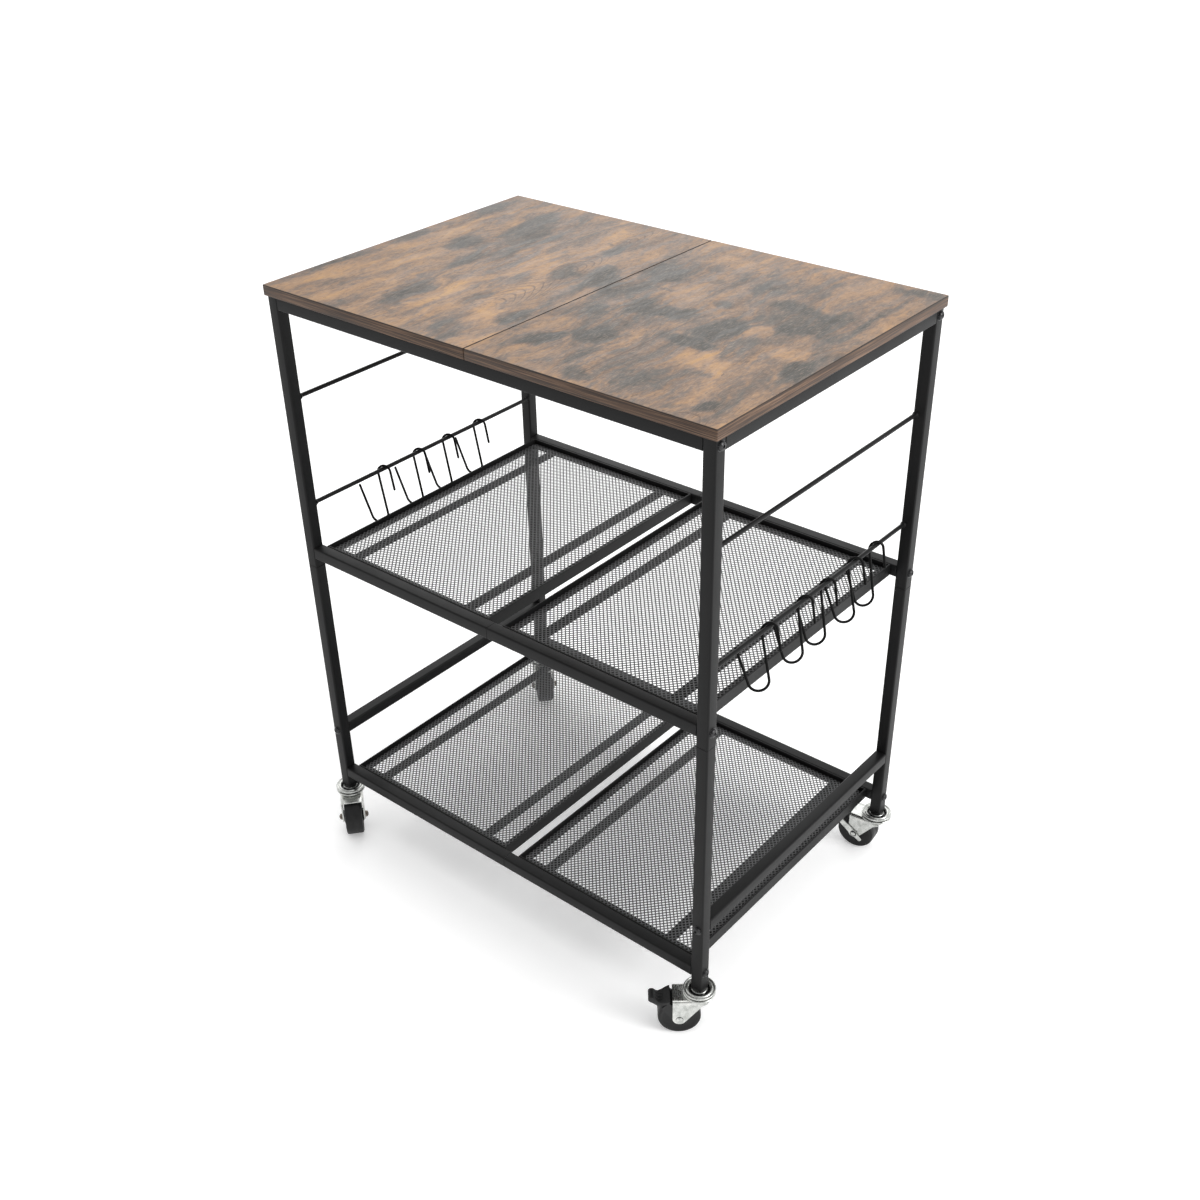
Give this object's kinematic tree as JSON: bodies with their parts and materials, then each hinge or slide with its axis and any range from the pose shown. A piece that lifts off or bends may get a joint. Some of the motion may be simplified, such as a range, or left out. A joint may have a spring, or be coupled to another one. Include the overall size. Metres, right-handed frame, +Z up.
{
  "type": "bar cart on wheels",
  "caption": "Rolling bar cart with a wooden worktop, mesh shelves in a square tube frame, side rods with S-hooks and swivel casters.",
  "frame": {"origin": "on the floor, under the centre of the worktop's outline", "axes": "+X along the worktop's long side to the right, +Y to the rear, +Z up; the front is -Y"},
  "size_m": [0.6325, 0.4592, 0.762],
  "materials": {
    "worktop": "rustic printed wood grain, satin",
    "frame_black": "fine matte powder coat, charcoal black",
    "mesh_wire": "black coated expanded metal, diamond holes",
    "hook_wire": "black coated wire",
    "zinc": "bright zinc plate",
    "wheel_black": "moulded black wheel",
    "pedal_black": "moulded black plastic"
  },
  "bodies": {
    "cart_frame": {"caster_stem_front_left": "zinc", "caster_stem_front_right": "zinc", "caster_stem_rear_left": "zinc", "caster_stem_rear_right": "zinc", "low_rail_front_left": "frame_black", "low_rail_front_right": "frame_black", "low_rail_rear_left": "frame_black", "low_rail_rear_right": "frame_black", "low_shelf_frame_left": "frame_black", "low_shelf_frame_right": "frame_black", "low_shelf_mesh_left": "mesh_wire", "low_shelf_mesh_right": "mesh_wire", "lower_leg_front_left": "frame_black", "lower_leg_front_right": "frame_black", "lower_leg_rear_left": "frame_black", "lower_leg_rear_right": "frame_black", "lower_rod_left": "frame_black", "lower_rod_right": "frame_black", "lower_side_bar_left": "frame_black", "lower_side_bar_right": "frame_black", "mid_rail_front_left": "frame_black", "mid_rail_front_right": "frame_black", "mid_rail_rear_left": "frame_black", "mid_rail_rear_right": "frame_black", "mid_shelf_frame_left": "frame_black", "mid_shelf_frame_right": "frame_black", "mid_shelf_mesh_left": "mesh_wire", "mid_shelf_mesh_right": "mesh_wire", "top_board_left": "worktop", "top_board_right": "worktop", "top_rail_front": "frame_black", "top_rail_rear": "frame_black", "top_side_bar_left": "frame_black", "top_side_bar_right": "frame_black", "upper_leg_front_left": "frame_black", "upper_leg_front_right": "frame_black", "upper_leg_rear_left": "frame_black", "upper_leg_rear_right": "frame_black", "upper_rod_left": "frame_black", "upper_rod_right": "frame_black"},
    "caster_front_right": {"caster_fork_front_right": "zinc"},
    "wheel_front_right": {"caster_wheel_front_right": "wheel_black"},
    "brake_front_right": {"brake_pedal_front_right": "pedal_black"},
    "caster_rear_right": {"caster_fork_rear_right": "zinc"},
    "wheel_rear_right": {"caster_wheel_rear_right": "wheel_black"},
    "brake_rear_right": {"brake_pedal_rear_right": "zinc"},
    "caster_front_left": {"caster_fork_front_left": "zinc"},
    "wheel_front_left": {"caster_wheel_front_left": "wheel_black"},
    "caster_rear_left": {"caster_fork_rear_left": "zinc"},
    "wheel_rear_left": {"caster_wheel_rear_left": "wheel_black"},
    "hook_left_1": {"hook_left_1": "hook_wire"},
    "hook_left_2": {"hook_left_2": "hook_wire"},
    "hook_left_3": {"hook_left_3": "hook_wire"},
    "hook_left_4": {"hook_left_4": "hook_wire"},
    "hook_right_1": {"hook_right_1": "hook_wire"},
    "hook_right_2": {"hook_right_2": "hook_wire"},
    "hook_right_3": {"hook_right_3": "hook_wire"},
    "hook_right_4": {"hook_right_4": "hook_wire"},
    "hook_right_5": {"hook_right_5": "hook_wire"}
  },
  "joints": [
    {"name": "swivel_front_right", "type": "hinge", "parent": "cart_frame", "child": "caster_front_right", "pos_m": [0.295, -0.1965, 0.053], "axis": [0, 0, 1], "continuous": true},
    {"name": "roll_front_right", "type": "hinge", "parent": "caster_front_right", "child": "wheel_front_right", "pos_m": [0.27731, -0.2112, 0.025], "axis": [0.6392, -0.769, 0], "continuous": true},
    {"name": "press_brake_front_right", "type": "hinge", "parent": "caster_front_right", "child": "brake_front_right", "pos_m": [0.27731, -0.2112, 0.025], "axis": [0.6392, -0.769, 0], "range_deg": [0, 14]},
    {"name": "swivel_rear_right", "type": "hinge", "parent": "cart_frame", "child": "caster_rear_right", "pos_m": [0.295, 0.1965, 0.053], "axis": [0, 0, 1], "continuous": true},
    {"name": "roll_rear_right", "type": "hinge", "parent": "caster_rear_right", "child": "wheel_rear_right", "pos_m": [0.27214, 0.19397, 0.025], "axis": [0.1099, -0.9939, 0], "continuous": true},
    {"name": "press_brake_rear_right", "type": "hinge", "parent": "caster_rear_right", "child": "brake_rear_right", "pos_m": [0.27214, 0.19397, 0.025], "axis": [0.1099, -0.9939, 0], "range_deg": [0, 14]},
    {"name": "swivel_front_left", "type": "hinge", "parent": "cart_frame", "child": "caster_front_left", "pos_m": [-0.295, -0.1965, 0.053], "axis": [0, 0, 1], "continuous": true},
    {"name": "roll_front_left", "type": "hinge", "parent": "caster_front_left", "child": "wheel_front_left", "pos_m": [-0.27738, -0.21129, 0.025], "axis": [0.6429, 0.7659, 0], "continuous": true},
    {"name": "swivel_rear_left", "type": "hinge", "parent": "cart_frame", "child": "caster_rear_left", "pos_m": [-0.295, 0.1965, 0.053], "axis": [0, 0, 1], "continuous": true},
    {"name": "roll_rear_left", "type": "hinge", "parent": "caster_rear_left", "child": "wheel_rear_left", "pos_m": [-0.27818, 0.18081, 0.025], "axis": [0.6822, 0.7312, 0], "continuous": true},
    {"name": "swing_hook_left_1", "type": "hinge", "parent": "cart_frame", "child": "hook_left_1", "pos_m": [-0.2905, -0.079, 0.4925], "axis": [0, 1, 0], "range_deg": [0, 75]},
    {"name": "swing_hook_left_2", "type": "hinge", "parent": "cart_frame", "child": "hook_left_2", "pos_m": [-0.2905, -0.018, 0.4925], "axis": [0, 1, 0], "range_deg": [0, 75]},
    {"name": "swing_hook_left_3", "type": "hinge", "parent": "cart_frame", "child": "hook_left_3", "pos_m": [-0.2905, 0.0347, 0.4925], "axis": [0, 1, 0], "range_deg": [0, 75]},
    {"name": "swing_hook_left_4", "type": "hinge", "parent": "cart_frame", "child": "hook_left_4", "pos_m": [-0.2905, 0.0922, 0.4925], "axis": [0, 1, 0], "range_deg": [0, 75]},
    {"name": "swing_hook_right_1", "type": "hinge", "parent": "cart_frame", "child": "hook_right_1", "pos_m": [0.2905, -0.0852, 0.4925], "axis": [0, -1, 0], "range_deg": [0, 75]},
    {"name": "swing_hook_right_2", "type": "hinge", "parent": "cart_frame", "child": "hook_right_2", "pos_m": [0.2905, -0.018, 0.4925], "axis": [0, -1, 0], "range_deg": [0, 75]},
    {"name": "swing_hook_right_3", "type": "hinge", "parent": "cart_frame", "child": "hook_right_3", "pos_m": [0.2905, 0.0265, 0.4925], "axis": [0, -1, 0], "range_deg": [0, 75]},
    {"name": "swing_hook_right_4", "type": "hinge", "parent": "cart_frame", "child": "hook_right_4", "pos_m": [0.2905, 0.0825, 0.4925], "axis": [0, -1, 0], "range_deg": [0, 75]},
    {"name": "swing_hook_right_5", "type": "hinge", "parent": "cart_frame", "child": "hook_right_5", "pos_m": [0.2905, 0.1275, 0.4925], "axis": [0, -1, 0], "range_deg": [0, 75]}
  ]
}
